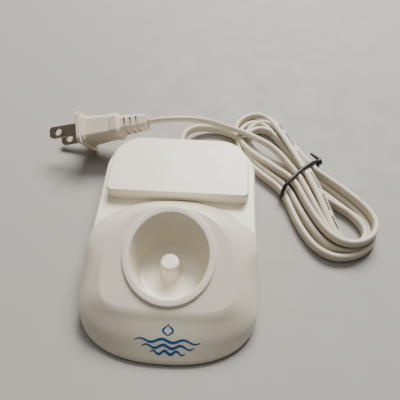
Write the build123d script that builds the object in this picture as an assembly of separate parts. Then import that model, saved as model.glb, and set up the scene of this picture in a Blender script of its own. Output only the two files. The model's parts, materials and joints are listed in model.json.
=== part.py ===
"""Induction charging base for a powered toothbrush, with its flat mains lead wound in a tied hank.

Millimetres. +Z is up, +Y is the rear of the base, +X is to the right as seen from the front.
The origin is at the middle of the base's own box, on the surface that it stands on.
"""
from build123d import *
import math
import os

# ---- base, overall -------------------------------------------------------------------------
LENGTH = 112.8
FRONT_Y = -LENGTH / 2
REAR_Y = LENGTH / 2
WALL = 2.0
GAP = 0.3
SHELL_BOTTOM = 1.5

# ---- rear slab and the raised plateau that an accessory tray stands on ---------------------
SLAB_HALF = 37.75
SLAB_TOP = 14.6
SLAB_CORNER = 19.0
SLAB_FRONT_Y = -5.0
PLATEAU_HALF = 34.1
PLATEAU_TOP = 20.85
PLATEAU_FRONT_Y = 17.5
PLATEAU_REAR_Y = 52.6
PLATEAU_CORNER = 15.0
PLATEAU_FRONT_CORNER = 3.0

# ---- front cowl ----------------------------------------------------------------------------
CUP_Y = FRONT_Y + 39.2
PANEL_SLOPE = 0.376
PANEL_Z = 23.3
RIM_Z = 24.5
COWL_HALF = 39.0
COWL_TOP_Z = 40.0
COWL_REAR_Y = 17.3
COWL_SIDE = (-44.5, 3.0)    # Y of the straight sides' ends
COWL_CORNER = 18.0
# Side view as Y, Z: foot of the front face, front fold, ridge and foot of the rear face.
COWL_PROFILE = [(FRONT_Y, SHELL_BOTTOM), (-43.1, 12.7), (-38.2, 15.4), (3.3, 31.0), (COWL_REAR_Y, 14.6)]
# Front view as half-width, Z.
COWL_SHOULDER = [(38.9, 13.0), (36.8, 18.2), (31.5, 22.6), (24.0, 27.0), (12.0, 31.5)]

# ---- charging cup --------------------------------------------------------------------------
CUP_FLOOR_Z = 7.9
CUP_UNDER_Z = 5.9
CUP_FLOOR_R = 14.0
CUP_CORNER = 2.4
CUP_DRAFT = 0.1
CUP_WALL = 1.5
CUP_LIP_R = 19.6
CUP_HOLE_R = 18.9
POST_R = 3.9
POST_TOP_Z = 18.4
POST_BORE_R = 2.9

# ---- underside -----------------------------------------------------------------------------
COVER_BOTTOM = 1.2
COVER_TOP = 3.2
COVER_INSET = WALL + GAP
FOOT_R = 4.5
FOOT_RECESS = 0.4
FEET = {"front_left": (-24, -33), "front_right": (24, -33), "rear_left": (-22, 46), "rear_right": (22, 46)}
BOSS_R = 3.2
BOSS_TOP_FRONT = 16.0
SCREW_R = 1.3
SCREW_HEAD_R = 2.7
SCREW_LENGTH = 8.5
REAR_BOSSES = [(-29, 42), (29, 42)]
FRONT_BOSSES = [(-27, -26), (27, -26)]
LABEL = (34, 18, 0.15)

# ---- electronics ---------------------------------------------------------------------------
BOARD = (48, 24, 1.6)
BOARD_Y = 31.5
BOARD_Z = 6.2
BOARD_TOP = BOARD_Z + BOARD[2]
BOARD_POSTS = [(-20, 22.5), (20, 22.5), (-20, 40.5), (20, 40.5)]
BOARD_POST_R = 2.4
BOARD_SCREW_R = 0.9
COIL_R = 13.0
BOBBIN_R = 13.5
HUB_R = 5.0
FLANGE_T = 0.5
BOBBIN_TOP = 5.8

# ---- mains lead ----------------------------------------------------------------------------
CORD_D = 4.0        # round section with the same area as the flat 5.2 x 2.7 cord
EXIT_X = -1.5
EXIT_Z = 7.6
GROMMET_END_Y = 60.8
GROMMET_NECK_R = 3.4
GROMMET_FLANGE_R = 4.2
CLAMP_Y = 49.0
HANK_TIE = Vector(62.7, 42.0, 0)
HANK_AXIS = Vector(0.573, -0.819, 0).normalized()
HANK_TOP = 10.0
NOTCH = 7.0         # side of the square room that a lead's end takes out of the hank
TIE_WIRE = 1.4

# ---- plug: face centre, the way from its upper to its lower blade, and across the blades ----
PLUG_FACE = Vector(-54.6, 61.1, 13.3)
PLUG_DOWN = Vector(0.170, 0.459, -0.872)
PLUG_TAIL_WAY = Vector(0.974, 0.059, 0.221)
PLUG_LENGTH = 36.0
FLANGE_X = 23.0
FLANGE_Y = 17.4
FLANGE_THICK = 2.0
BLADE_SPACING = 12.7
BLADE_WIDTH = 6.35
BLADE_THICK = 1.5
BLADE_LENGTH = 17.1
BLADE_HOLE_R = 1.98
BLADE_HOLE_AT = 12.2


# ---- helpers -------------------------------------------------------------------------------
def block(x, y, z0, size_x, size_y, height):
    """A box that stands on z0 with its middle at x, y."""
    return Pos(x, y, z0 + height / 2) * Box(size_x, size_y, height)


def rod(x, y, z0, radius, height):
    """An upright cylinder that stands on z0."""
    return Pos(x, y, z0 + height / 2) * Cylinder(radius, height)


def ring(x, y, z0, outer, inner, height):
    """An upright tube that stands on z0."""
    return rod(x, y, z0, outer, height) - rod(x, y, z0 - 1, inner, height + 2)


def below_slope(height, lift=0.0):
    """Everything below the plane that rises to the rear at the panel's slope."""
    angle = math.degrees(math.atan(PANEL_SLOPE))
    return Pos(0, CUP_Y, height + lift) * Rot(angle, 0, 0) * Pos(0, 0, -60) * Box(200, 200, 120)


def rounded_slab(half, front, rear, front_corner, rear_corner, bottom, top):
    """A block with upright edges rounded by one radius in front and another behind."""
    body = Pos(0, (front + rear) / 2, (bottom + top) / 2) * Box(2 * half, rear - front, top - bottom)
    upright = body.edges().filter_by(Axis.Z).sort_by(Axis.Y)
    body = fillet(upright[2:], rear_corner)
    if front_corner:
        upright = body.edges().filter_by(Axis.Z).sort_by(Axis.Y)
        body = fillet(upright[:2], front_corner)
    return body


def largest(shape):
    """The biggest solid of a shape, without slivers that a cut has left."""
    return sorted(shape.solids(), key=lambda s: s.volume)[-1]


def lead_path(points):
    """Straight runs joined by arcs, each arc as large as its two runs allow; also the radii."""
    radii = []
    for a, b, c in zip(points, points[1:], points[2:]):
        before, after = Vector(*b) - Vector(*a), Vector(*c) - Vector(*b)
        turn = math.radians(before.get_angle(after))
        radii.append(0.45 * min(before.length, after.length) / math.tan(turn / 2))
    return FilletPolyline(*points, radius=radii), radii


def tube(points, diameter, name):
    """A round tube along a lead path, with its smallest radius and its volume printed."""
    path, radii = lead_path(points)
    section = Plane(origin=path @ 0, z_dir=path % 0) * Circle(diameter / 2)
    body = sweep(section, path=path)
    expected = math.pi * diameter ** 2 / 4 * path.length
    print(f"{name}: {path.length:.1f} long, radii {[round(r, 1) for r in radii]},"
          f" volume {body.volume / expected:.4f} of section times length")
    return body


def wire(points, radius, bend):
    """A thin internal wire with small equal bends."""
    path = FilletPolyline(*points, radius=bend)
    return sweep(Plane(origin=path @ 0, z_dir=path % 0) * Circle(radius), path=path)


# ---- shells --------------------------------------------------------------------------------
def cowl_solid(inset):
    """The cowl's outer form, or, with an inset, the form inside it, which runs on below the lower edge."""
    bottom = SHELL_BOTTOM - 3 * inset
    front, rear = COWL_SIDE
    right, left = COWL_HALF, -COWL_HALF
    plan = make_face([
        Line((right, front), (right, rear)),
        ThreePointArc((right, rear), (0, COWL_REAR_Y), (left, rear)),
        Line((left, rear), (left, front)),
        ThreePointArc((left, front), (0, FRONT_Y), (right, front)),
    ])
    plan = fillet(plan.vertices(), COWL_CORNER)
    rise = COWL_PROFILE if inset else COWL_PROFILE[1:]
    side = make_face(Polyline((COWL_REAR_Y, bottom), (FRONT_Y, bottom), *rise, close=True))
    half = [(COWL_HALF, bottom)] + COWL_SHOULDER
    across = make_face(Polyline(*half, *[(-x, z) for x, z in reversed(half)], close=True))
    if inset:
        plan, side, across = [offset(face, -inset, kind=Kind.INTERSECTION) for face in (plan, side, across)]
    return (extrude(plan, COWL_TOP_Z, both=True) & extrude(Plane.YZ * side, 100, both=True)
            & extrude(Plane.XZ * across, 100, both=True))


def front_cowl():
    shell = cowl_solid(0.0) - cowl_solid(WALL)
    shell -= block(0, SLAB_FRONT_Y + 50, 0, 200, 100, SLAB_TOP)
    shell -= rod(0, CUP_Y, 0, CUP_HOLE_R, COWL_TOP_Z)
    for x, y in FRONT_BOSSES:
        shell += rod(x, y, COVER_TOP, BOSS_R, BOSS_TOP_FRONT) & cowl_solid(0.5)
        shell -= rod(x, y, COVER_TOP - 1, SCREW_R, SCREW_LENGTH)
    return largest(shell)


def top_housing():
    slab = rounded_slab(SLAB_HALF, SLAB_FRONT_Y, REAR_Y, 0, SLAB_CORNER, SHELL_BOTTOM, SLAB_TOP)
    slab = fillet(slab.edges().group_by(Axis.Z)[-1].sort_by(Axis.Y)[1:], 1.2)
    plateau = rounded_slab(PLATEAU_HALF, PLATEAU_FRONT_Y, PLATEAU_REAR_Y, PLATEAU_FRONT_CORNER,
                           PLATEAU_CORNER, SLAB_TOP - 1, PLATEAU_TOP)
    plateau = fillet(plateau.edges().group_by(Axis.Z)[-1], 1.0)
    cavity = rounded_slab(SLAB_HALF - WALL, SLAB_FRONT_Y - 20, REAR_Y - WALL, 0, SLAB_CORNER - WALL,
                          0, SLAB_TOP - WALL)
    attic = rounded_slab(PLATEAU_HALF - WALL, PLATEAU_FRONT_Y + WALL, PLATEAU_REAR_Y - WALL, 1.0,
                         PLATEAU_CORNER - WALL, SLAB_TOP - WALL - 1, PLATEAU_TOP - WALL)
    shell = slab + plateau - cavity - attic
    shell -= rod(0, CUP_Y, 0, CUP_HOLE_R + 1, COWL_TOP_Z)
    for x, y in REAR_BOSSES:
        shell += rod(x, y, COVER_TOP, BOSS_R, PLATEAU_TOP - WALL - COVER_TOP + 0.5)
        shell -= rod(x, y, COVER_TOP - 1, SCREW_R, SCREW_LENGTH)
    shell -= Pos(EXIT_X, REAR_Y, EXIT_Z) * Rot(90, 0, 0) * Cylinder(GROMMET_NECK_R, 4 * WALL)
    return largest(shell)


def cord_grommet():
    """Moulded strain relief: a flange each side of the wall, then a taper along the lead."""
    def along_y(radius_start, radius_end, start, end):
        place = Plane(origin=(EXIT_X, start, EXIT_Z), x_dir=(1, 0, 0), z_dir=(0, 1, 0))
        if radius_start == radius_end:
            return extrude(place * Circle(radius_start), end - start)
        far = Plane(origin=(EXIT_X, end, EXIT_Z), x_dir=(1, 0, 0), z_dir=(0, 1, 0))
        return loft([(place * Circle(radius_start)).face(), (far * Circle(radius_end)).face()])
    body = along_y(GROMMET_NECK_R, GROMMET_NECK_R, REAR_Y - WALL, REAR_Y)
    body += along_y(GROMMET_FLANGE_R, GROMMET_FLANGE_R, REAR_Y - WALL - 1.4, REAR_Y - WALL)
    body += along_y(GROMMET_FLANGE_R, GROMMET_FLANGE_R, REAR_Y, REAR_Y + 1.2)
    body += along_y(3.4, CORD_D / 2 + 0.5, REAR_Y + 1.2, GROMMET_END_Y)
    return body


def charging_cup():
    def inner_radius(z):
        return CUP_FLOOR_R + 1.0 + CUP_DRAFT * (z - CUP_FLOOR_Z - CUP_CORNER)
    top = COWL_TOP_Z
    low, high = inner_radius(CUP_FLOOR_Z), inner_radius(top)
    outer = [(0, CUP_UNDER_Z), (CUP_FLOOR_R + 1.4, CUP_UNDER_Z), (low + CUP_WALL, CUP_FLOOR_Z),
             (high + CUP_WALL, top), (0, top)]
    inner = [(0, CUP_FLOOR_Z), (low, CUP_FLOOR_Z), (high, top), (0, top)]
    body = Pos(0, CUP_Y, 0) * revolve(Plane.XZ * make_face(Polyline(*outer, close=True)), Axis.Z)
    hollow = revolve(Plane.XZ * make_face(Polyline(*inner, close=True)), Axis.Z)
    hollow = Pos(0, CUP_Y, 0) * fillet(hollow.edges().group_by(Axis.Z)[0], CUP_CORNER)
    lip = ring(0, CUP_Y, 0, CUP_LIP_R, inner_radius(RIM_Z) + 0.6, top) - below_slope(PANEL_Z)
    body = (body + lip) & below_slope(RIM_Z)
    body -= seal_ring()
    body -= hollow
    post = rod(0, CUP_Y, CUP_UNDER_Z, POST_R, POST_TOP_Z - CUP_UNDER_Z)
    post = fillet(post.edges().group_by(Axis.Z)[-1], 0.6)
    body += post
    body -= rod(0, CUP_Y, CUP_UNDER_Z - 1, POST_BORE_R, POST_TOP_Z - CUP_UNDER_Z - 0.5)
    return largest(body)


def seal_ring():
    """Soft ring in a groove under the cup's lip."""
    band = ring(0, CUP_Y, 0, CUP_LIP_R - 0.4, CUP_HOLE_R + 0.05, COWL_TOP_Z)
    return (band & below_slope(PANEL_Z, 0.4)) - below_slope(PANEL_Z)


def bottom_cover():
    rear = rounded_slab(SLAB_HALF - COVER_INSET, SLAB_FRONT_Y - 8, REAR_Y - COVER_INSET, 0,
                        SLAB_CORNER - COVER_INSET, COVER_BOTTOM, COVER_TOP)
    front = cowl_solid(COVER_INSET + 0.2)
    front &= block(0, SLAB_FRONT_Y - GAP - 60, COVER_BOTTOM, 200, 120, COVER_TOP - COVER_BOTTOM)
    plate = rear + front
    for x, y in FEET.values():
        plate -= rod(x, y, 0, FOOT_R, COVER_BOTTOM + FOOT_RECESS)
    for x, y in REAR_BOSSES + FRONT_BOSSES:
        plate -= rod(x, y, 0, SCREW_R + 0.3, 5)
        plate -= rod(x, y, 0, SCREW_HEAD_R + 0.3, COVER_BOTTOM + 1.0)
    for x, y in BOARD_POSTS:
        plate += rod(x, y, COVER_TOP, BOARD_POST_R, BOARD_Z - COVER_TOP)
        plate -= rod(x, y, COVER_TOP, BOARD_SCREW_R, BOARD_Z)
    for x in clamp_posts():
        plate += rod(x, CLAMP_Y, COVER_TOP, 2.0, EXIT_Z + CORD_D / 2 - COVER_TOP)
        plate -= rod(x, CLAMP_Y, COVER_TOP, BOARD_SCREW_R, 9)
    plate += block(EXIT_X, CLAMP_Y, COVER_TOP, 3.6, 4.0, EXIT_Z - CORD_D / 2 - COVER_TOP)
    return largest(plate)


# ---- fasteners and small pieces of the base ------------------------------------------------
def clamp_posts():
    return [EXIT_X - 5.4, EXIT_X + 5.4]


def screw(x, y, head_bottom, head_r, head_h, shank_r, length, up):
    """A pan-head screw whose shank points up or down from its head."""
    head = rod(x, y, head_bottom, head_r, head_h)
    slot = block(x, y, head_bottom - 0.1 if up else head_bottom + head_h - 0.5, 2 * head_r, 0.5, 0.6)
    shank = rod(x, y, head_bottom + head_h if up else head_bottom - length, shank_r, length)
    return (head - slot + shank).solid()


def housing_screws():
    head_bottom = COVER_BOTTOM
    return [screw(x, y, head_bottom, SCREW_HEAD_R, 1.0, SCREW_R, SCREW_LENGTH - 0.5, True)
            for x, y in REAR_BOSSES + FRONT_BOSSES]


def board_screws():
    return [screw(x, y, BOARD_TOP, 1.8, 1.0, BOARD_SCREW_R, 4.0, False) for x, y in BOARD_POSTS]


def clamp_screws():
    top = EXIT_Z + CORD_D / 2 + 2.0
    return [screw(x, CLAMP_Y, top, 1.8, 1.0, BOARD_SCREW_R, 5.5, False) for x in clamp_posts()]


def cord_clamp():
    bar = block(EXIT_X, CLAMP_Y, EXIT_Z + CORD_D / 2, 15, 4.4, 2.0)
    for x in clamp_posts():
        bar -= rod(x, CLAMP_Y, EXIT_Z, BOARD_SCREW_R, 9)
    return fillet(bar.edges().filter_by(Axis.Z), 0.8)


def foot(x, y):
    pad = rod(x, y, 0, FOOT_R, COVER_BOTTOM + FOOT_RECESS)
    return chamfer(pad.edges().group_by(Axis.Z)[0], 0.4)


def rating_label():
    x, y, t = LABEL
    return block(0, 5, COVER_BOTTOM - t, x, y, t)


# ---- electronics ---------------------------------------------------------------------------
def coil_bobbin():
    body = ring(0, CUP_Y, COVER_TOP, HUB_R, POST_BORE_R, BOBBIN_TOP - COVER_TOP)
    body += ring(0, CUP_Y, COVER_TOP, BOBBIN_R, POST_BORE_R, FLANGE_T)
    body += ring(0, CUP_Y, BOBBIN_TOP - FLANGE_T, BOBBIN_R, POST_BORE_R, FLANGE_T)
    return body


def primary_coil():
    height = BOBBIN_TOP - COVER_TOP - 2 * FLANGE_T
    return ring(0, CUP_Y, COVER_TOP + FLANGE_T, COIL_R, HUB_R, height)


def ferrite_core():
    return rod(0, CUP_Y, COVER_TOP, POST_BORE_R - 0.2, POST_TOP_Z - COVER_TOP - 2.2)


def circuit_board():
    board = block(0, BOARD_Y, BOARD_Z, *BOARD)
    for x, y in BOARD_POSTS:
        board -= rod(x, y, BOARD_Z - 1, BOARD_SCREW_R, 4)
    return board


def lying_cylinder(x, y, radius, length, lift=0.3):
    """A component that lies along X on the board, on two short feet."""
    body = Pos(x, y, BOARD_TOP + lift + radius) * Rot(0, 90, 0) * Cylinder(radius, length)
    for side in (-1, 1):
        body += rod(x + side * (length / 2 - 0.6), y, BOARD_TOP, 0.5, lift + radius / 2)
    return body


def power_transistor():
    body = block(15, 29, BOARD_TOP + 1.5, 7.6, 2.8, 8.0)
    for i in (-1, 0, 1):
        body += block(15 + 2.3 * i, 29, BOARD_TOP, 0.8, 0.6, 1.6)
    return body - Pos(15, 29, BOARD_TOP + 8.0) * Rot(90, 0, 0) * Cylinder(1.0, 4)


def choke():
    body = rod(3, 30, BOARD_TOP, 4.2, 8.0)
    return body - ring(3, 30, BOARD_TOP + 1.0, 5.0, 3.6, 6.0)


def smoothing_capacitor():
    body = rod(-7.5, 28, BOARD_TOP, 4.0, 10.0)
    return fillet(body.edges().group_by(Axis.Z)[-1], 0.6)


def component_block(x, y, size_x, size_y, height):
    body = block(x, y, BOARD_TOP, size_x, size_y, height)
    return chamfer(body.edges().group_by(Axis.Z)[-1], 0.4)


def mains_wire(side):
    x = EXIT_X + 1.1 * side
    end_y = CLAMP_Y - 2.4
    top = 10.4
    turn_y = end_y - 1.6
    return wire([(x, end_y, EXIT_Z), (x, turn_y, EXIT_Z), (x, turn_y, top), (x, 41.0, top)], 0.7, 0.75)


def coil_wire(side):
    x = 8 + 1.6 * side
    start_y = CUP_Y + math.sqrt(COIL_R ** 2 - x ** 2) + 1.0
    z = 4.5
    return wire([(x, start_y, z), (x, 17.4, z), (x, 17.4, 9.6), (x, 20.4, 9.6)], 0.45, 0.8)


def cord_inner_end():
    start = CLAMP_Y - 2.4
    length = REAR_Y - WALL - 1.4 - start
    return Pos(EXIT_X, start + length / 2, EXIT_Z) * Rot(90, 0, 0) * Cylinder(CORD_D / 2, length)


# ---- lead and hank -------------------------------------------------------------------------
BASE_LEAD = [(EXIT_X, GROMMET_END_Y, EXIT_Z), (EXIT_X, 65.6, EXIT_Z), (0.2, 70.7, 7.0), (3.8, 74.9, 5.7),
             (9.0, 77.5, 4.3), (15.6, 78.1, 3.1), (23.0, 76.4, 2.4), (29.9, 73.2, 2.1)]
PLUG_LEAD = [(-19.54, 63.22, 21.26), (-12.52, 63.65, 22.85), (-4.6, 64.7, 23.0), (4.2, 67.0, 21.1),
             (12.4, 69.6, 17.4), (20.0, 71.6, 12.6), (26.8, 72.4, 8.4), (33.0, 71.2, 6.2)]


def hank_frame(s, t, z=0.0):
    """A point of the hank from its distance along its axis and across it."""
    across = Vector(-HANK_AXIS.Y, HANK_AXIS.X, 0)
    return HANK_TIE + HANK_AXIS * s + across * t + Vector(0, 0, z)


def cord_hank():
    """Outer shape of the wound turns: two rounded ends that narrow to the tie."""
    rounds = [(-44.5, 3.6, 12.8), (0.0, 0.0, 11.2), (33.0, -0.8, 17.8)]
    body = None
    for a, b in zip(rounds, rounds[1:]):
        outline = Sketch() + [Pos(hank_frame(s, t)) * Circle(r) for s, t, r in (a, b)]
        half = extrude(make_face(make_hull(outline.edges())), HANK_TOP)
        body = half if body is None else body + half
    for points in (BASE_LEAD, PLUG_LEAD):
        body -= lead_notch(points)
    for s, t, r in ((-45.0, 3.6, 5.0), (33.0, -0.8, 8.5)):
        body -= Pos(hank_frame(s, t)) * Cylinder(r, 4 * HANK_TOP)
    body -= twist_tie()
    return largest(body)


def lead_notch(points):
    """Room for the last stretch of a lead, closed by a face square to it."""
    end, before = Vector(*points[-1]), Vector(*points[-2])
    back = (before - end).normalized()
    place = Plane(origin=end, z_dir=back)
    return extrude(place * Rectangle(NOTCH, NOTCH), 30)


def twist_tie():
    """A wire loop round the hank's narrow middle."""
    angle = math.degrees(math.atan2(HANK_AXIS.Y, HANK_AXIS.X))
    width = 24.4
    outer = Box(TIE_WIRE, width, HANK_TOP + TIE_WIRE)
    inner = Box(2 * TIE_WIRE, width - 2 * TIE_WIRE, HANK_TOP - TIE_WIRE)
    loop = fillet(outer.edges().filter_by(Axis.X), 3.0) - fillet(inner.edges().filter_by(Axis.X), 2.0)
    place = Pos(HANK_TIE.X, HANK_TIE.Y, (HANK_TOP + TIE_WIRE) / 2) * Rot(0, 0, angle)
    return place * loop


# ---- plug ----------------------------------------------------------------------------------
def on_plug(shape):
    """Moves a shape from the plug's own frame, where +Z runs from its face to its lead."""
    across = PLUG_TAIL_WAY.cross(PLUG_DOWN)
    return Plane(origin=PLUG_FACE, x_dir=across.cross(PLUG_TAIL_WAY), z_dir=PLUG_TAIL_WAY).location * shape


def plug_section(z, size_x, size_y, corner):
    return (Plane.XY.offset(z) * RectangleRounded(size_x, size_y, corner)).face()


def plug_body():
    flange = extrude(RectangleRounded(FLANGE_X, FLANGE_Y, 3.0), FLANGE_THICK)
    flange = chamfer(flange.edges().group_by(Axis.Z)[0], 0.3)
    step = extrude(plug_section(FLANGE_THICK, FLANGE_X - 3.4, FLANGE_Y - 3.4, 2.4), 1.2)
    grip = loft([plug_section(3.0, 16.6, 12.6, 2.2), plug_section(17.5, 13.6, 11.0, 2.2)])
    shoulder = loft([plug_section(17.5, 14.8, 12.0, 3.0), plug_section(20.6, 14.8, 12.0, 3.0),
                     plug_section(22.6, 11.4, 8.6, 2.4)], ruled=True)
    relief = loft([plug_section(22.4, 11.4, 8.6, 2.4), plug_section(PLUG_LENGTH, 9.0, 7.0, 1.8)])
    body = flange + step + grip + shoulder + relief
    for i in range(3):
        z = 24.6 + 3.2 * i
        for side in (-1, 1):
            body -= Pos(0, side * 5.0, z) * Box(7.2, 4.4, 1.1)
            body -= Pos(side * 6.0, 0, z) * Box(4.6, 5.0, 1.1)
    body -= extrude(Plane.XY.offset(1.6) * Rectangle(15.2, 8.0), 6.0)
    for side in (-1, 1):
        body -= Pos(side * BLADE_SPACING / 2, 0, 0) * Box(BLADE_THICK, BLADE_WIDTH, 3.2)
    return on_plug(largest(body))


def plug_bridge():
    """Stiff insert inside the plug that holds both blades."""
    bridge = extrude(Plane.XY.offset(1.6) * Rectangle(15.2, 8.0), 6.0)
    for side in (-1, 1):
        bridge -= Pos(side * BLADE_SPACING / 2, 0, 1.6) * Box(BLADE_THICK, BLADE_WIDTH, 8.0)
    return on_plug(bridge.solid())


def plug_blade(side):
    blade = Pos(0, 0, (5.6 - BLADE_LENGTH) / 2) * Box(BLADE_THICK, BLADE_WIDTH, BLADE_LENGTH + 5.6)
    tip = blade.edges().filter_by(Axis.X).sort_by(Axis.Z)[:2]
    blade = fillet(tip, 2.0)
    blade -= Pos(0, 0, -BLADE_HOLE_AT) * Rot(0, 90, 0) * Cylinder(BLADE_HOLE_R, 4)
    return on_plug(Pos(side * BLADE_SPACING / 2, 0, 0) * blade)


# ---- assembly ------------------------------------------------------------------------------
def nodes():
    made = {
        "bottom_cover": bottom_cover(),
        "top_housing": top_housing(),
        "front_cowl": front_cowl(),
        "charging_cup": charging_cup(),
        "cup_seal": seal_ring(),
        "housing_screws": housing_screws(),
        "rating_label": rating_label(),
        "coil_bobbin": coil_bobbin(),
        "primary_coil": primary_coil(),
        "ferrite_core": ferrite_core(),
        "circuit_board": circuit_board(),
        "board_screws": board_screws(),
        "fuse": lying_cylinder(8, 39.5, 1.5, 9.0),
        "damping_resistor": lying_cylinder(-1.5, 23.0, 1.1, 6.5),
        "smoothing_capacitor": smoothing_capacitor(),
        "film_capacitor": component_block(13, 35, 13, 4.6, 8.5),
        "rectifier_bridge": component_block(-17, 30, 6.5, 8.5, 3.0),
        "power_transistor": power_transistor(),
        "choke": choke(),
        "mains_terminal": component_block(EXIT_X, 38.5, 9.0, 5.0, 5.5),
        "coil_header": component_block(8, 22.2, 6.0, 3.6, 4.0),
        "mains_wire_live": mains_wire(-1),
        "mains_wire_neutral": mains_wire(1),
        "coil_wire_start": coil_wire(-1),
        "coil_wire_end": coil_wire(1),
        "cord_clamp": cord_clamp(),
        "clamp_screws": clamp_screws(),
        "cord_inner_end": cord_inner_end(),
        "cord_grommet": cord_grommet(),
        "lead_from_base": tube(BASE_LEAD, CORD_D, "lead_from_base"),
        "cord_hank": cord_hank(),
        "twist_tie": twist_tie(),
        "lead_to_plug": tube(PLUG_LEAD, CORD_D, "lead_to_plug"),
        "plug_body": plug_body(),
        "plug_bridge": plug_bridge(),
        "plug_blade_upper": plug_blade(-1),
        "plug_blade_lower": plug_blade(1),
    }
    for name, (x, y) in FEET.items():
        made["foot_" + name] = foot(x, y)
    return made


os.makedirs("parts", exist_ok=True)
for node, shape in nodes().items():
    solids = shape if isinstance(shape, list) else shape.solids()
    export_step(solids[0] if len(solids) == 1 else Compound(children=solids), f"parts/{node}.step")
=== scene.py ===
"""Looks of an induction charging base with its flat mains lead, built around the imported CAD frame.

Metres, in the frame's own axes: +Z up, +Y rear, +X right. MM turns millimetres into metres.
"""
import json
import math

import bmesh
import bpy
from mathutils import Matrix, Vector


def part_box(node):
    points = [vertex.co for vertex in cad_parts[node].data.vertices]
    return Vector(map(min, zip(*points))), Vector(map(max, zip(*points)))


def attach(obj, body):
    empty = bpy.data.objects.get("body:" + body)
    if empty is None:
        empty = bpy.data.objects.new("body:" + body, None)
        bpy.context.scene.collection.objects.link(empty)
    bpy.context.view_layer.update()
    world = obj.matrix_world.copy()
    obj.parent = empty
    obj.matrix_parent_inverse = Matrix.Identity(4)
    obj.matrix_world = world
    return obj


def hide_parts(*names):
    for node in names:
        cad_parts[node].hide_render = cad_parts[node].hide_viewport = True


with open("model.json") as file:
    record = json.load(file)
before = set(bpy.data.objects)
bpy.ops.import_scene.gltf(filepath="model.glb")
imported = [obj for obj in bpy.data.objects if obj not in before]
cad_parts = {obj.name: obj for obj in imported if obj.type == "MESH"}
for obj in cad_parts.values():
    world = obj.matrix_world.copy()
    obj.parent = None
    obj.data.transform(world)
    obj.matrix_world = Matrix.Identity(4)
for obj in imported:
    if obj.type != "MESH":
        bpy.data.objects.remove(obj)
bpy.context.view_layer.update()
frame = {"nodes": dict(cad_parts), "record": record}
MM = 0.001
BODY = "root"

# ---- places read from the frame ------------------------------------------------------------
CUP_Y = next(m for m in frame["record"]["mounts"] if m["name"] == "charging_post")["pos_m"][1]
TIE_LOW, TIE_HIGH = (Vector(v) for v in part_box("twist_tie"))
HANK_TIE = Vector(((TIE_LOW.x + TIE_HIGH.x) / 2, (TIE_LOW.y + TIE_HIGH.y) / 2, 0))
HANK_AXIS = Vector((0.573, -0.819, 0)).normalized()
HANK_ACROSS = Vector((-HANK_AXIS.y, HANK_AXIS.x, 0))

# ---- the flat lead: two cores side by side ---------------------------------------------------
CORD_WIDE = 5.2 * MM
CORD_THIN = 2.75 * MM


# ---- node materials --------------------------------------------------------------------------
class Nodes:
    """Short ways to add and link the nodes of one material."""

    def __init__(self, name):
        self.material = bpy.data.materials.new(name)
        self.material.use_nodes = True
        self.tree = self.material.node_tree
        self.shader = self.tree.nodes["Principled BSDF"]

    def add(self, kind, **inputs):
        node = self.tree.nodes.new("ShaderNode" + kind)
        for key, value in inputs.items():
            node.inputs[key.replace("_", " ")].default_value = value
        return node

    def link(self, source, target):
        self.tree.links.new(source, target)

    def place(self):
        return self.add("TexCoord").outputs["Object"]

    def noise(self, scale, detail=4.0, rough=0.55):
        node = self.add("TexNoise", Scale=scale, Detail=detail, Roughness=rough)
        self.link(self.place(), node.inputs["Vector"])
        return node.outputs["Fac"]

    def ramp(self, source, low, high, start=0.3, end=0.7):
        """Blends two colours, or two greys, over a range of the source."""
        node = self.add("ValToRGB")
        stops = node.color_ramp.elements
        stops[0].position, stops[1].position = start, end
        stops[0].color, stops[1].color = rgba(low), rgba(high)
        self.link(source, node.inputs["Fac"])
        return node.outputs["Color"]

    def mix(self, factor, low, high):
        """Mixes two colours by a factor; each may be a colour or a socket."""
        node = self.tree.nodes.new("ShaderNodeMix")
        node.data_type = "RGBA"
        self.link(factor, node.inputs[0])
        for index, value in ((6, low), (7, high)):
            if isinstance(value, bpy.types.NodeSocket):
                self.link(value, node.inputs[index])
            else:
                node.inputs[index].default_value = rgba(value)
        return node.outputs[2]

    def bump(self, source, strength, distance, under=None):
        node = self.add("Bump", Strength=strength, Distance=distance)
        self.link(source, node.inputs["Height"])
        if under is not None:
            self.link(under, node.inputs["Normal"])
        return node.outputs["Normal"]


def rgba(value):
    """A colour from a grey or from three numbers."""
    return (value, value, value, 1) if isinstance(value, (int, float)) else (*value, 1)


CLOUD_SHADE = 0.93
SPECK_SHADE = 0.62
SPECK_STRENGTH = 0.05
PLASTIC_IOR = 1.49


def moulded(name, colour, roughness, grain=900, grain_depth=0.02 * MM, coat=0.0):
    """Moulded plastic: cloudy colour, fine grain, sparse dark specks and uneven gloss."""
    n = Nodes(name)
    cloudy = n.noise(38, 3)
    tone = n.ramp(cloudy, [c * CLOUD_SHADE for c in colour], colour)
    specks = n.noise(2600, 2)
    tint = n.ramp(specks, 0.0, SPECK_STRENGTH, 0.62, 0.72)
    n.link(n.mix(tint, tone, [c * SPECK_SHADE for c in colour]), n.shader.inputs["Base Color"])
    rubbed = n.noise(95, 6, 0.7)
    n.link(n.ramp(rubbed, roughness * 0.85, min(1, roughness * 1.2)), n.shader.inputs["Roughness"])
    fine = n.bump(n.noise(grain, 5, 0.6), 0.35, grain_depth)
    n.link(n.bump(n.noise(22, 2), 0.25, 0.12 * MM, fine), n.shader.inputs["Normal"])
    n.shader.inputs["Coat Weight"].default_value = coat
    n.shader.inputs["Coat Roughness"].default_value = 0.12
    n.shader.inputs["IOR"].default_value = PLASTIC_IOR
    return n.material


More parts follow.
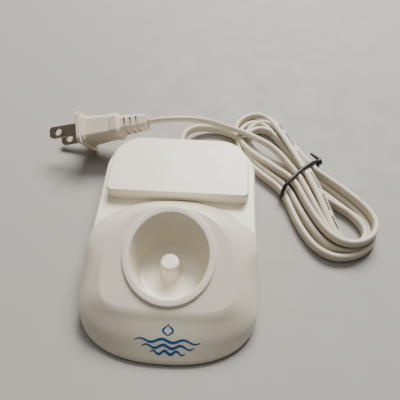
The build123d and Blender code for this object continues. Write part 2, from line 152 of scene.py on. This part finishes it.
def metal(name, colour, roughness):
    """Rolled or plated metal with fine lines along one way and dull, darker patches."""
    n = Nodes(name)
    scale = n.add("Mapping")
    n.link(n.place(), scale.inputs["Vector"])
    scale.inputs["Scale"].default_value = (40, 900, 900)
    lines = n.add("TexNoise", Scale=1.0, Detail=5.0)
    n.link(scale.outputs["Vector"], lines.inputs["Vector"])
    dull = n.noise(240, 5, 0.7)
    n.link(n.ramp(dull, [c * 0.62 for c in colour], colour, 0.35, 0.6), n.shader.inputs["Base Color"])
    n.link(n.ramp(dull, roughness * 1.5, roughness * 0.8), n.shader.inputs["Roughness"])
    n.link(n.bump(lines.outputs["Fac"], 0.3, 0.03 * MM), n.shader.inputs["Normal"])
    n.shader.inputs["Metallic"].default_value = 1.0
    return n.material


def laminate(name, colour):
    """Solder-masked board with copper tracks that show as lighter bands."""
    n = Nodes(name)
    tracks = n.add("TexBrick", Scale=180.0, Mortar_Size=0.12)
    n.link(n.place(), tracks.inputs["Vector"])
    tracks.inputs["Color1"].default_value = rgba(colour)
    tracks.inputs["Color2"].default_value = rgba([c * 0.85 for c in colour])
    tracks.inputs["Mortar"].default_value = rgba([c * 1.5 for c in colour])
    n.link(tracks.outputs["Color"], n.shader.inputs["Base Color"])
    n.link(n.ramp(n.noise(500), 0.28, 0.42), n.shader.inputs["Roughness"])
    n.link(n.bump(tracks.outputs["Fac"], 0.3, 0.03 * MM), n.shader.inputs["Normal"])
    return n.material


def wound_wire(name, colour):
    """Enamelled wire in close level turns, with painted shade darkening the grooves between them."""
    n = Nodes(name)
    turns = n.add("TexWave", Scale=800.0, Distortion=0.4, Detail=1.0)
    turns.bands_direction = "Z"
    n.link(n.place(), turns.inputs["Vector"])
    # painted shade: the colour falls to 0.45 of the wire's own colour in the grooves that the same bands
    # cut into the bump
    n.link(n.ramp(turns.outputs["Fac"], [c * 0.45 for c in colour], colour), n.shader.inputs["Base Color"])
    n.link(n.ramp(n.noise(300), 0.25, 0.4), n.shader.inputs["Roughness"])
    n.link(n.bump(turns.outputs["Fac"], 0.6, 0.1 * MM), n.shader.inputs["Normal"])
    n.shader.inputs["Metallic"].default_value = 0.8
    return n.material


IVORY = (0.86, 0.80, 0.675)
PEARL = (0.76, 0.70, 0.57)
LEAD_GREY = (0.62, 0.565, 0.46)
MATERIALS = {
    "housing": moulded("housing_plastic", IVORY, 0.42, coat=0.08),
    "cowl": moulded("cowl_plastic", PEARL, 0.36, grain=1300, grain_depth=0.008 * MM, coat=0.25),
    "cup": moulded("cup_plastic", IVORY, 0.34, grain=1300, grain_depth=0.008 * MM, coat=0.2),
    "cover": moulded("cover_plastic", (0.66, 0.64, 0.58), 0.6, grain=500, grain_depth=0.08 * MM),
    "label": moulded("label_foil", (0.62, 0.62, 0.60), 0.45, grain=350),
    "seal": moulded("seal_elastomer", (0.34, 0.325, 0.28), 0.7),
    "foot": moulded("foot_elastomer", (0.50, 0.48, 0.44), 0.75, grain=420, grain_depth=0.08 * MM),
    "cord": moulded("lead_vinyl", LEAD_GREY, 0.44, grain=800, grain_depth=0.03 * MM),
    "plug": moulded("plug_vinyl", (0.72, 0.65, 0.53), 0.5, grain=700, grain_depth=0.04 * MM),
    "tie": moulded("tie_vinyl", (0.012, 0.012, 0.013), 0.38, grain=600, grain_depth=0.05 * MM),
    "bobbin": moulded("bobbin_nylon", (0.03, 0.03, 0.03), 0.5, grain=400),
    "ferrite": moulded("ferrite", (0.03, 0.03, 0.035), 0.65, grain=300, grain_depth=0.1 * MM),
    "ceramic": moulded("component_ceramic", (0.62, 0.55, 0.42), 0.5),
    "component_dark": moulded("component_dark", (0.015, 0.015, 0.02), 0.45),
    "component_red": moulded("component_red", (0.33, 0.03, 0.015), 0.3),
    "connector": moulded("connector_nylon", (0.70, 0.68, 0.60), 0.45),
    "wire_dark": moulded("wire_dark", (0.02, 0.02, 0.02), 0.4),
    "wire_pale": moulded("wire_pale", (0.65, 0.65, 0.62), 0.4),
    "steel": metal("zinc_steel", (0.55, 0.55, 0.54), 0.3),
    "blade": metal("blade_brass", (0.42, 0.35, 0.25), 0.34),
    "copper": wound_wire("enamelled_copper", (0.62, 0.25, 0.10)),
    "board": laminate("board_laminate", (0.03, 0.14, 0.05)),
}


# ---- mesh helpers ----------------------------------------------------------------------------
def make_object(name, vertices, faces, material, smooth=True):
    mesh = bpy.data.meshes.new(name)
    mesh.from_pydata([tuple(v) for v in vertices], [], faces)
    mesh.update()
    bm = bmesh.new()
    bm.from_mesh(mesh)
    bmesh.ops.remove_doubles(bm, verts=bm.verts, dist=1e-6)
    bmesh.ops.recalc_face_normals(bm, faces=bm.faces)
    bm.to_mesh(mesh)
    bm.free()
    for face in mesh.polygons:
        face.use_smooth = smooth
    mesh.materials.append(material)
    made = bpy.data.objects.new(name, mesh)
    bpy.context.collection.objects.link(made)
    return made


def subdivide(piece, levels):
    modifier = piece.modifiers.new("subdivision", "SUBSURF")
    modifier.levels = modifier.render_levels = levels
    return piece


def piece(made, slot, *nodes):
    """Rides a piece on the one body and hides the CAD nodes that it stands for; the slot is not used."""
    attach(made, BODY)
    if nodes:
        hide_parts(*nodes)
    return made


def ring_faces(count, start_a, start_b):
    """Quads between two closed rings of the same number of points."""
    following = [(i + 1) % count for i in range(count)]
    return [(start_a + i, start_a + j, start_b + j, start_b + i) for i, j in enumerate(following)]


def skin(rings, cap_start=True, cap_end=True):
    """Vertices and faces of a closed skin through rings of points."""
    count = len(rings[0])
    vertices = [p for ring in rings for p in ring]
    faces = []
    for k in range(len(rings) - 1):
        faces += ring_faces(count, k * count, (k + 1) * count)
    if cap_start:
        faces.append(tuple(range(count))[::-1])
    if cap_end:
        faces.append(tuple(range((len(rings) - 1) * count, len(rings) * count)))
    return vertices, faces


def smooth_step(x):
    x = min(1.0, max(0.0, x))
    return x * x * (3 - 2 * x)


# ---- the lead's route ------------------------------------------------------------------------
BASE_LEAD = [(-1.5, 60.8, 7.6), (-1.5, 65.6, 7.6), (0.2, 70.7, 7.0), (3.8, 74.9, 5.7),
             (9.0, 77.5, 4.3), (15.6, 78.1, 3.3), (23.0, 76.4, 2.8), (29.9, 73.2, 2.7)]
PLUG_LEAD = [(-19.54, 63.22, 21.26), (-12.52, 63.65, 22.85), (-4.6, 64.7, 23.0), (4.2, 67.0, 21.1),
             (12.4, 69.6, 17.4), (20.0, 71.6, 12.6), (26.8, 72.4, 9.4), (33.0, 71.2, 8.4)]
# Each lobe of the hank: reach along the hank's axis (negative towards the upper end), half-width of its
# first and second side, whether the first side is the left one, where it crosses the tie on its way in
# and out, the height of its way in, its end and its way out, all in millimetres, and how round it is.
LOBES = [
    (49.5, 9.4, 4.8, True, -11.0, 9.6, 2.7, 2.7, 2.8, 0.6),
    (-43.5, 1.8, 6.0, False, 9.6, -8.2, 2.8, 2.7, 3.4, 0.75),
    (47.2, 6.5, 5.8, True, -8.2, 7.0, 3.4, 2.8, 2.9, 0.6),
    (-49.0, 2.0, 7.6, False, 7.0, -4.5, 2.9, 2.8, 7.0, 0.8),
    (47.0, 7.0, 5.9, True, -4.5, 9.0, 7.0, 8.0, 7.0, 0.6),
    (-46.5, 2.2, 7.4, False, 9.0, 0.2, 7.0, 3.0, 2.8, 0.95),
    (46.0, 5.2, 5.6, False, 0.2, 4.5, 2.8, 2.8, 8.6, 1.35),
    (-54.6, 6.3, 11.5, False, 4.5, 3.0, 8.6, 2.9, 2.8, 0.6),
    (45.0, 4.0, 5.4, False, 3.0, -1.2, 2.8, 2.8, 7.6, 1.15),
]
LOBE_POINTS = 11
FLAT_AFTER = 6              # the lobe that ends in the stretch which lies flat
# The way into the first lobe, and from the last one towards the plug, along the hank, across it and up.
INTO_HANK = [(-38, -13.2, 2.7), (-31, -16.2, 2.7), (-17, -15.2, 2.7)]
OUT_OF_HANK = [(0, -1.2, 7.8), (-8, -0.8, 8.2), (-17, -0.4, 8.6), (-26, -1.8, 8.8), (-33, -4.8, 9.0)]
# Leans, from 0, flat, to 1, on edge.
LYING = 0.1
ON_EDGE = 1.0
LEAVING_LEAN = 0.85
PLUG_LEAN = 0.61


def on_hank(s, t, z):
    """A point of the hank in metres, from millimetres along its axis, across it and up."""
    return HANK_TIE + (HANK_AXIS * s + HANK_ACROSS * t + Vector((0, 0, z))) * MM


def lobe(reach, first, second, left_first, t_in, t_out, z_in, z_end, z_out, roundness):
    """Control points of one teardrop turn, from just after one crossing of the tie to the next."""
    side = -1 if left_first else 1
    points = []
    for k in range(1, LOBE_POINTS + 1):
        a = k / (LOBE_POINTS + 1)
        half = first + (second - first) * smooth_step(a)
        fuller = 1 + roundness * (1 - math.cos(2 * math.pi * a)) / 2
        t = t_in + (t_out - t_in) * smooth_step(a) + side * half * fuller * math.sin(2 * math.pi * a)
        if a < 0.5:
            z = z_in + (z_end - z_in) * smooth_step(2 * a)
        else:
            z = z_end + (z_out - z_end) * smooth_step(2 * a - 1)
        points.append(on_hank(reach * math.sin(math.pi * a), t, z))
    return points


def lead_route():
    """Control points from the base to the plug, each with its lean: 0 lies flat and 1 stands on edge."""
    route = [(Vector(p) * MM, ON_EDGE) for p in BASE_LEAD]
    route += [(on_hank(*p), ON_EDGE) for p in INTO_HANK]
    for i, values in enumerate(LOBES):
        route.append((on_hank(0, values[4], values[6]), LYING if i == FLAT_AFTER + 1 else ON_EDGE))
        for k, p in enumerate(lobe(*values), 1):
            a = k / (LOBE_POINTS + 1)
            flat = (i == FLAT_AFTER and a > 0.6) or (i == FLAT_AFTER + 1 and a < 0.35)
            route.append((p, LYING if flat else ON_EDGE))
    route += [(on_hank(*p), LEAVING_LEAN) for p in OUT_OF_HANK]
    route += [(Vector(p) * MM, PLUG_LEAN) for p in PLUG_LEAD[::-1]]
    return route


def nurbs_line(points):
    """The points of the smooth line that the route controls."""
    curve = bpy.data.curves.new("lead_line", "CURVE")
    curve.dimensions = "3D"
    curve.resolution_u = 7
    spline = curve.splines.new("NURBS")
    spline.points.add(len(points) - 1)
    for knot, p in zip(spline.points, points):
        knot.co = (*p, 1)
    spline.order_u = 3
    spline.use_endpoint_u = True
    holder = bpy.data.objects.new("lead_line", curve)
    bpy.context.collection.objects.link(holder)
    bpy.context.view_layer.update()
    mesh = bpy.data.meshes.new_from_object(holder)
    line = [v.co.copy() for v in mesh.vertices]
    bpy.data.objects.remove(holder)
    return line


def section_points():
    """The lead's outline: two round cores that meet in a shallow groove."""
    core_r = CORD_THIN / 2
    offset = CORD_WIDE / 2 - core_r
    points = []
    for side, first in ((1, -112), (-1, 68)):
        for k in range(9):
            angle = math.radians(first + 28 * k)
            points.append((side * offset + core_r * math.cos(angle), core_r * math.sin(angle)))
    return points


def frames_along(line, leans):
    """The section's wide way and thin way at each point of the line."""
    made = []
    last = len(line) - 1
    for i, p in enumerate(line):
        ahead = (line[min(i + 1, last)] - line[max(i - 1, 0)]).normalized()
        level = Vector((0, 0, 1)).cross(ahead).normalized()
        upward = ahead.cross(level)
        place = i / last * (len(leans) - 1)
        low = min(int(place), len(leans) - 2)
        lean = leans[low] + (leans[low + 1] - leans[low]) * (place - low)
        angle = lean * math.pi / 2
        wide = level * math.cos(angle) + upward * math.sin(angle)
        made.append((wide, ahead.cross(wide)))
    return made


def smoothed(values, times):
    for _ in range(times):
        inner = [(a + 2 * b + c) / 4 for a, b, c in zip(values, values[1:], values[2:])]
        values = [values[0]] + inner + [values[-1]]
    return values


ROUTE = lead_route()
LINE = nurbs_line([p for p, _ in ROUTE])
FRAMES = frames_along(LINE, smoothed([lean for _, lean in ROUTE], 3))


def flat_lead():
    outline = section_points()
    rings = [[p + wide * w + thin * t for w, t in outline] for p, (wide, thin) in zip(LINE, FRAMES)]
    return piece(make_object("flat_lead", *skin(rings), MATERIALS["cord"]), "cord",
                 "lead_from_base", "cord_hank", "lead_to_plug")


FLAT_ENOUGH = 0.35
UPPER_TURNS = 4 * MM
MARK_GROUP = 8              # a group's steps along the line, of which the last two are left blank
MARK_SPANS = ((0.08, 0.44), (0.58, 0.90))
MARK_EDGES = (-1.1, 0.15)
INK_LIFT = 0.03 * MM


def lead_marks():
    """Blank printed dashes along one core of the flat stretch, in uneven groups."""
    vertices, faces = [], []
    on_top = [i for i, (wide, _) in enumerate(FRAMES)
              if abs(wide.z) < FLAT_ENOUGH and LINE[i].z > UPPER_TURNS]
    for k, i in enumerate(on_top[:-1]):
        if k % MARK_GROUP in (MARK_GROUP - 2, MARK_GROUP - 1):
            continue
        wide, thin = FRAMES[i]
        top = thin if thin.z > 0 else -thin
        for begin, end in MARK_SPANS:
            base = len(vertices)
            for share in (begin, end):
                centre = LINE[i].lerp(LINE[i + 1], share)
                for w in MARK_EDGES:
                    off_core = (w + 0.6) * 0.55 * MM
                    height = math.sqrt((CORD_THIN / 2) ** 2 - off_core ** 2) + INK_LIFT
                    vertices.append(centre + wide * (w - 0.3) * MM + top * height)
            faces.append((base, base + 1, base + 3, base + 2))
    made = make_object("lead_marks", vertices, faces, MATERIALS["tie"], smooth=False)
    return piece(made, "tie")


# ---- front cowl ------------------------------------------------------------------------------
PANEL_SLOPE = 0.376
PANEL_Z = 23.3
HOLE_R = 18.75
SLAB_TOP = 14.6
SKIRT_END_Y = -3.3          # the skirt laps over the front end of the slab's sides
SKIRT_SPLIT = 6.0           # the angle, in degrees, of the pair of columns that this Y falls between
# Rings from the crease round the panel down to the lower edge: height at the cup's axis, extra height in
# front, extra height at the rear end of the straight sides, slope, half-width, Y of the front curve's
# middle, its reach and how square it is, and the rear curve's middle and reach.
COWL_RINGS = [
    (23.3, 0.0, 0.0, PANEL_SLOPE, 28.4, -24.4, 13.6, 4.6, -22.5, 25.8),
    (19.6, 2.4, 0.0, PANEL_SLOPE, 34.8, -25.4, 17.0, 3.4, -17.0, 23.4),
    (8.0, 0.0, 6.6, 0.0, 38.9, -30.4, 18.5, 2.5, -7.3, 24.6),
    (1.5, 0.0, 0.0, 0.0, 38.9, -30.4, 25.9, 2.35, -7.3, 34.4),
]
REAR_SQUARENESS = 2.1
EDGE = 0.6                  # how far inside the crease the panel's last ring runs
TINY = 1e-9


def ring_point(level, angle, along):
    """A point of a cowl ring in millimetres; along runs over the straight side between its two curves."""
    height, front_lift, rear_lift, slope, half, front_y, front_reach, squareness, rear_y, rear_reach = level
    c, s = math.cos(angle), math.sin(angle)
    rear = s > TINY
    power = 2 / (REAR_SQUARENESS if rear else squareness)
    x = half * math.copysign(abs(c) ** power, c)
    if abs(s) <= TINY:
        y = front_y + (rear_y - front_y) * along
    elif rear:
        y = rear_y + rear_reach * s ** power
    else:
        y = front_y - front_reach * abs(s) ** power
    lift = front_lift * max(0.0, -s) ** 1.5 + rear_lift * along
    return Vector((x, y, height + lift + slope * (y - CUP_Y / MM)))


def cowl_columns():
    """Angle and place on the straight side of every column, counterclockwise from the right side."""
    right = [(0.0, k / 4) for k in range(1, 4)]
    degrees = [side + half for side in (SKIRT_SPLIT, 180 - SKIRT_SPLIT) for half in (-0.15, 0.15)]
    rear = [(math.radians(a), 1) for a in sorted(degrees + [5 * k for k in range(2, 35)])]
    left = [(math.pi, k / 4) for k in range(3, 0, -1)]
    front = [(math.radians(180 + 5 * k), 0) for k in range(1, 36)]
    return [(0.0, 0)] + right + [(0.0, 1)] + rear + [(math.pi, 1)] + left + [(math.pi, 0)] + front


def hermite(p0, p1, m0, m1, u):
    return (p0 * (2 * u ** 3 - 3 * u ** 2 + 1) + m0 * (u ** 3 - 2 * u ** 2 + u)
            + p1 * (3 * u ** 2 - 2 * u ** 3) + m1 * (u ** 3 - u ** 2))


def cowl_column(angle, along):
    """Points of one column of the cowl, from the rim of its hole to its lower edge."""
    crease, shoulder, waist, foot = (ring_point(level, angle, along) for level in COWL_RINGS)
    centre = Vector((0, CUP_Y / MM, 0))
    outward = crease - centre
    outward.z = 0
    outward.normalize()
    hole = centre + outward * HOLE_R
    hole.z = PANEL_Z + PANEL_SLOPE * (hole.y - CUP_Y / MM)
    sunk = hole - Vector((0, 0, 2.5))
    over = Vector((outward.x, outward.y, PANEL_SLOPE * outward.y))
    facing = max(0.0, -math.sin(angle)) ** 2
    first = shoulder - crease
    start = first.lerp(over * first.length * 1.1, 0.9 * facing)
    middle = (waist - crease) * 0.45
    last = (waist - shoulder).lerp(foot - waist, 0.4)
    points = [hermite(crease, shoulder, start, middle, u) for u in (0.0, 0.06, 0.25, 0.45, 0.7, 1.0)]
    points += [hermite(shoulder, waist, middle, last, k / 5) for k in range(1, 6)]
    points += [waist.lerp(foot, k / 4) for k in range(1, 5)]
    if foot.y > SKIRT_END_Y:
        points = cut_level(points, SLAB_TOP)
    panel = [hole.lerp(crease, f) for f in (0.0, 0.04, 0.35, 0.7)]
    near = max(0.72, 1 - EDGE / (crease - hole).length)
    return [sunk] + panel + [hole.lerp(crease, near)] + points


def cut_level(points, level):
    """The same number of points, spread over the part of the line that is above a level."""
    kept = [points[0]]
    for a, b in zip(points, points[1:]):
        if b.z >= level:
            kept.append(b)
            continue
        kept.append(a.lerp(b, (a.z - level) / (a.z - b.z)))
        break
    lengths = [0.0]
    for a, b in zip(kept, kept[1:]):
        lengths.append(lengths[-1] + (b - a).length)
    spread = []
    for k in range(len(points)):
        want = lengths[-1] * k / (len(points) - 1)
        i = max(j for j in range(len(kept) - 1) if lengths[j] <= want + 1e-9)
        share = (want - lengths[i]) / (lengths[i + 1] - lengths[i])
        spread.append(kept[i].lerp(kept[i + 1], min(1, share)))
    return spread


def front_cowl():
    columns = [cowl_column(*c) for c in cowl_columns()]
    rings = [[column[k] * MM for column in columns] for k in range(len(columns[0]))]
    made = make_object("cowl_shell", *skin(rings, False, False), MATERIALS["cowl"])
    wall = made.modifiers.new("wall", "SOLIDIFY")
    wall.thickness = 1.8 * MM
    wall.offset = -1
    return piece(subdivide(made, 1), "cowl", "front_cowl")


# ---- charging cup ----------------------------------------------------------------------------
RIM_Z = 24.5
CUP_FLOOR_Z = 7.9
# Lip and upper wall as radius and height above the sloping rim plane, then the rest as radius and Z.
LIP = [(19.9, -1.5), (20.0, -1.0), (19.97, -0.4), (19.8, -0.1), (19.4, 0.0), (17.7, 0.02), (17.2, -0.08),
       (16.95, -0.4), (16.8, -1.1)]
WELL = [(15.35, 13.5), (15.05, 10.9), (14.9, 9.6), (14.3, 8.6), (13.3, 8.05), (12.3, CUP_FLOOR_Z),
        (9.0, CUP_FLOOR_Z), (5.8, CUP_FLOOR_Z), (4.9, 8.0), (4.5, 8.4), (4.35, 9.2), (4.25, 12.0),
        (4.15, 16.9), (4.05, 17.7), (3.7, 18.2), (3.1, 18.38), (1.6, 18.4), (0.5, 18.4)]
CUP_COLUMNS = 72


def charging_cup():
    centre = Vector((0, CUP_Y, 0))

    def ring_at(radius, z=None, above=None):
        made = []
        for i in range(CUP_COLUMNS):
            angle = 2 * math.pi * i / CUP_COLUMNS
            y = radius * math.sin(angle)
            height = z if above is None else RIM_Z + PANEL_SLOPE * y + above
            made.append(centre + Vector((radius * math.cos(angle), y, height)) * MM)
        return made

    rings = [ring_at(19.2, above=-1.6)] + [ring_at(r, above=a) for r, a in LIP]
    upper, lower = rings[-1], ring_at(WELL[0][0], z=WELL[0][1])
    rings += [[p.lerp(q, f) for p, q in zip(upper, lower)] for f in (0.25, 0.5, 0.75)]
    rings += [ring_at(r, z=z) for r, z in WELL]
    made = make_object("cup_shell", *skin(rings, False, True), MATERIALS["cup"])
    return piece(subdivide(made, 1), "cup", "charging_cup")


# ---- generic mark on the cowl's front --------------------------------------------------------
WAVES = ((-12.0, 15.0), (-9.0, 12.5), (-5.5, 9.0))


def printed_mark(cowl):
    """A droplet over three waves in blue ink, laid on the sloping front face."""
    bpy.context.view_layer.update()
    shown = cowl.evaluated_get(bpy.context.evaluated_depsgraph_get())
    vertices, faces = [], []

    def on_face(x, y):
        hit, point, normal, _ = shown.ray_cast(Vector((x, y + CUP_Y / MM, 80)) * MM, Vector((0, 0, -1)))
        return point + normal * 0.04 * MM

    def ribbon(points, width):
        """A band of ink whose width swells in its middle."""
        base = len(vertices)
        last = len(points) - 1
        for i, (x, y) in enumerate(points):
            ax, ay = points[max(i - 1, 0)]
            bx, by = points[min(i + 1, last)]
            length = math.hypot(bx - ax, by - ay)
            half = width * (0.35 + 0.65 * math.sin(math.pi * i / last)) / 2
            nx, ny = -(by - ay) / length * half, (bx - ax) / length * half
            vertices.extend([on_face(x + nx, y + ny), on_face(x - nx, y - ny)])
        for a in range(base, base + 2 * last, 2):
            faces.append((a, a + 1, a + 3, a + 2))

    for row, (left, right) in enumerate(WAVES):
        y = -31.0 - 1.9 * row
        ribbon([(left + (right - left) * k / 40, y + 0.55 * math.sin(2 * math.pi * k / 13.3))
                for k in range(41)], 1.0)
    for turn in (1, -1):
        ribbon([(1.6 + turn * 2.1 * math.sin(math.pi * k / 16) ** 1.5, -25.3 - 4.0 * (k / 16) ** 0.8)
                for k in range(17)], 0.8)
    ink = moulded("mark_ink", (0.012, 0.10, 0.30), 0.4, grain=1500, grain_depth=0.005 * MM)
    made = make_object("front_mark", vertices, faces, ink)
    return piece(made, "label")


# ---- tie -------------------------------------------------------------------------------------
TIE_R = 1.0
TIE_LOOP = [(1.6, -13.4, 1.1), (3.0, -14.2, 4.2), (1.6, -12.8, 8.4), (0.4, -8.2, 10.2), (-1.0, -2.5, 10.4),
            (-2.2, 4.0, 10.7), (-2.6, 9.5, 10.4), (-2.2, 13.0, 8.6), (-1.6, 13.8, 5.0), (-0.6, 12.2, 1.1),
            (-1.2, 4.0, 1.05), (-2.6, -6.0, 1.05)]
TIE_ENDS = [
    [(-2.6, 10.6, 9.9), (-2.0, 12.8, 10.6), (-1.0, 13.9, 10.0), (-0.8, 13.4, 8.6), (-1.6, 12.2, 8.8)],
    [(-1.2, 13.6, 10.4), (-2.6, 14.0, 10.3), (-5.2, 13.6, 10.0), (-8.2, 12.9, 10.2)],
]


def wire_mesh(name, points, radius, closed, material):
    """A round wire along a smooth line, as a mesh with rounded ends."""
    curve = bpy.data.curves.new(name, "CURVE")
    curve.dimensions = "3D"
    curve.resolution_u = 8
    curve.bevel_depth = radius * MM
    curve.bevel_resolution = 5
    curve.use_fill_caps = True
    spline = curve.splines.new("NURBS")
    spline.points.add(len(points) - 1)
    for i, (knot, p) in enumerate(zip(spline.points, points)):
        knot.co = (*on_hank(*p), 1)
        knot.radius = 0.7 if not closed and i in (0, len(points) - 1) else 1.0
    spline.order_u = 3
    spline.use_cyclic_u = closed
    spline.use_endpoint_u = not closed
    holder = bpy.data.objects.new(name + "_line", curve)
    bpy.context.collection.objects.link(holder)
    bpy.context.view_layer.update()
    mesh = bpy.data.meshes.new_from_object(holder)
    bpy.data.objects.remove(holder)
    mesh.materials.clear()
    mesh.materials.append(material)
    for face in mesh.polygons:
        face.use_smooth = True
    made = bpy.data.objects.new(name, mesh)
    bpy.context.collection.objects.link(made)
    return made


def wire_tie():
    loop = wire_mesh("tie_loop", TIE_LOOP, TIE_R, True, MATERIALS["tie"])
    ends = [wire_mesh(f"tie_end_{i}", points, TIE_R, False, MATERIALS["tie"])
            for i, points in enumerate(TIE_ENDS)]
    return [piece(loop, "tie", "twist_tie")] + [piece(end, "tie") for end in ends]


# ---- stage, light and camera -----------------------------------------------------------------
CAMERA_AT = (17.18, -102.52, 185.70)
CAMERA_DOWN = 54.677
CAMERA_YAW = -2.938
CAMERA_ROLL = 0.474
CAMERA_LENS = 38.957


def floor():
    n = Nodes("floor_paint")
    n.link(n.ramp(n.noise(3, 3), (0.325, 0.312, 0.295), (0.355, 0.34, 0.32)), n.shader.inputs["Base Color"])
    n.link(n.ramp(n.noise(60), 0.6, 0.75), n.shader.inputs["Roughness"])
    n.link(n.bump(n.noise(700), 0.1, 0.05 * MM), n.shader.inputs["Normal"])
    size = 2.0
    made = make_object("floor", [(-size, -size, 0), (size, -size, 0), (size, size, 0), (-size, size, 0)],
                       [(0, 1, 2, 3)], n.material)


def area_light(name, at, aim, size, power, colour):
    data = bpy.data.lights.new(name, "AREA")
    data.shape = "RECTANGLE"
    data.size, data.size_y = size
    data.energy = power
    data.color = colour
    lamp = bpy.data.objects.new(name, data)
    lamp.location = at
    lamp.rotation_euler = (Vector(aim) - Vector(at)).to_track_quat("-Z", "Y").to_euler()
    bpy.context.collection.objects.link(lamp)


def lights():
    area_light("window", (0.20, 0.82, 0.90), (0.02, 0.0, 0.0), (0.65, 0.45), 33.0, (1.0, 0.97, 0.915))
    area_light("ceiling", (-0.1, 0.25, 1.3), (0.0, 0.0, 0.0), (0.9, 0.9), 4.5, (1.0, 0.975, 0.94))
    world = bpy.data.worlds.new("room")
    world.use_nodes = True
    world.node_tree.nodes["Background"].inputs["Color"].default_value = (0.90, 0.88, 0.85, 1)
    world.node_tree.nodes["Background"].inputs["Strength"].default_value = 0.11
    bpy.context.scene.world = world


def camera():
    down, yaw, roll = (math.radians(a) for a in (CAMERA_DOWN, CAMERA_YAW, CAMERA_ROLL))
    ahead = Vector((math.sin(yaw) * math.cos(down), math.cos(yaw) * math.cos(down), -math.sin(down)))
    right = Vector((math.cos(yaw), -math.sin(yaw), 0))
    up = right.cross(ahead)
    tilted_right = right * math.cos(roll) + up * math.sin(roll)
    tilted_up = up * math.cos(roll) - right * math.sin(roll)
    turn = Matrix((tilted_right, tilted_up, -ahead)).transposed().to_4x4()
    data = bpy.data.cameras.new("camera")
    data.lens = CAMERA_LENS
    data.clip_start = 0.01
    made = bpy.data.objects.new("camera", data)
    made.matrix_world = Matrix.Translation(Vector(CAMERA_AT) * MM) @ turn
    bpy.context.collection.objects.link(made)
    bpy.context.scene.camera = made


def cad_finishes():
    """Gives every carried-over CAD node the material of its slot."""
    slots = {s["node"]: s["material_slot"] for s in frame["record"]["subparts"]}
    for name, node in frame["nodes"].items():
        material = MATERIALS[slots[name]]
        if not node.material_slots:
            node.data.materials.append(material)
        for holder in node.material_slots:
            holder.material = material


camera()
lights()
floor()
cad_finishes()
lead = flat_lead()
marks = lead_marks()
cowl = front_cowl()
charging_cup()
printed_mark(cowl)
tie = wire_tie()
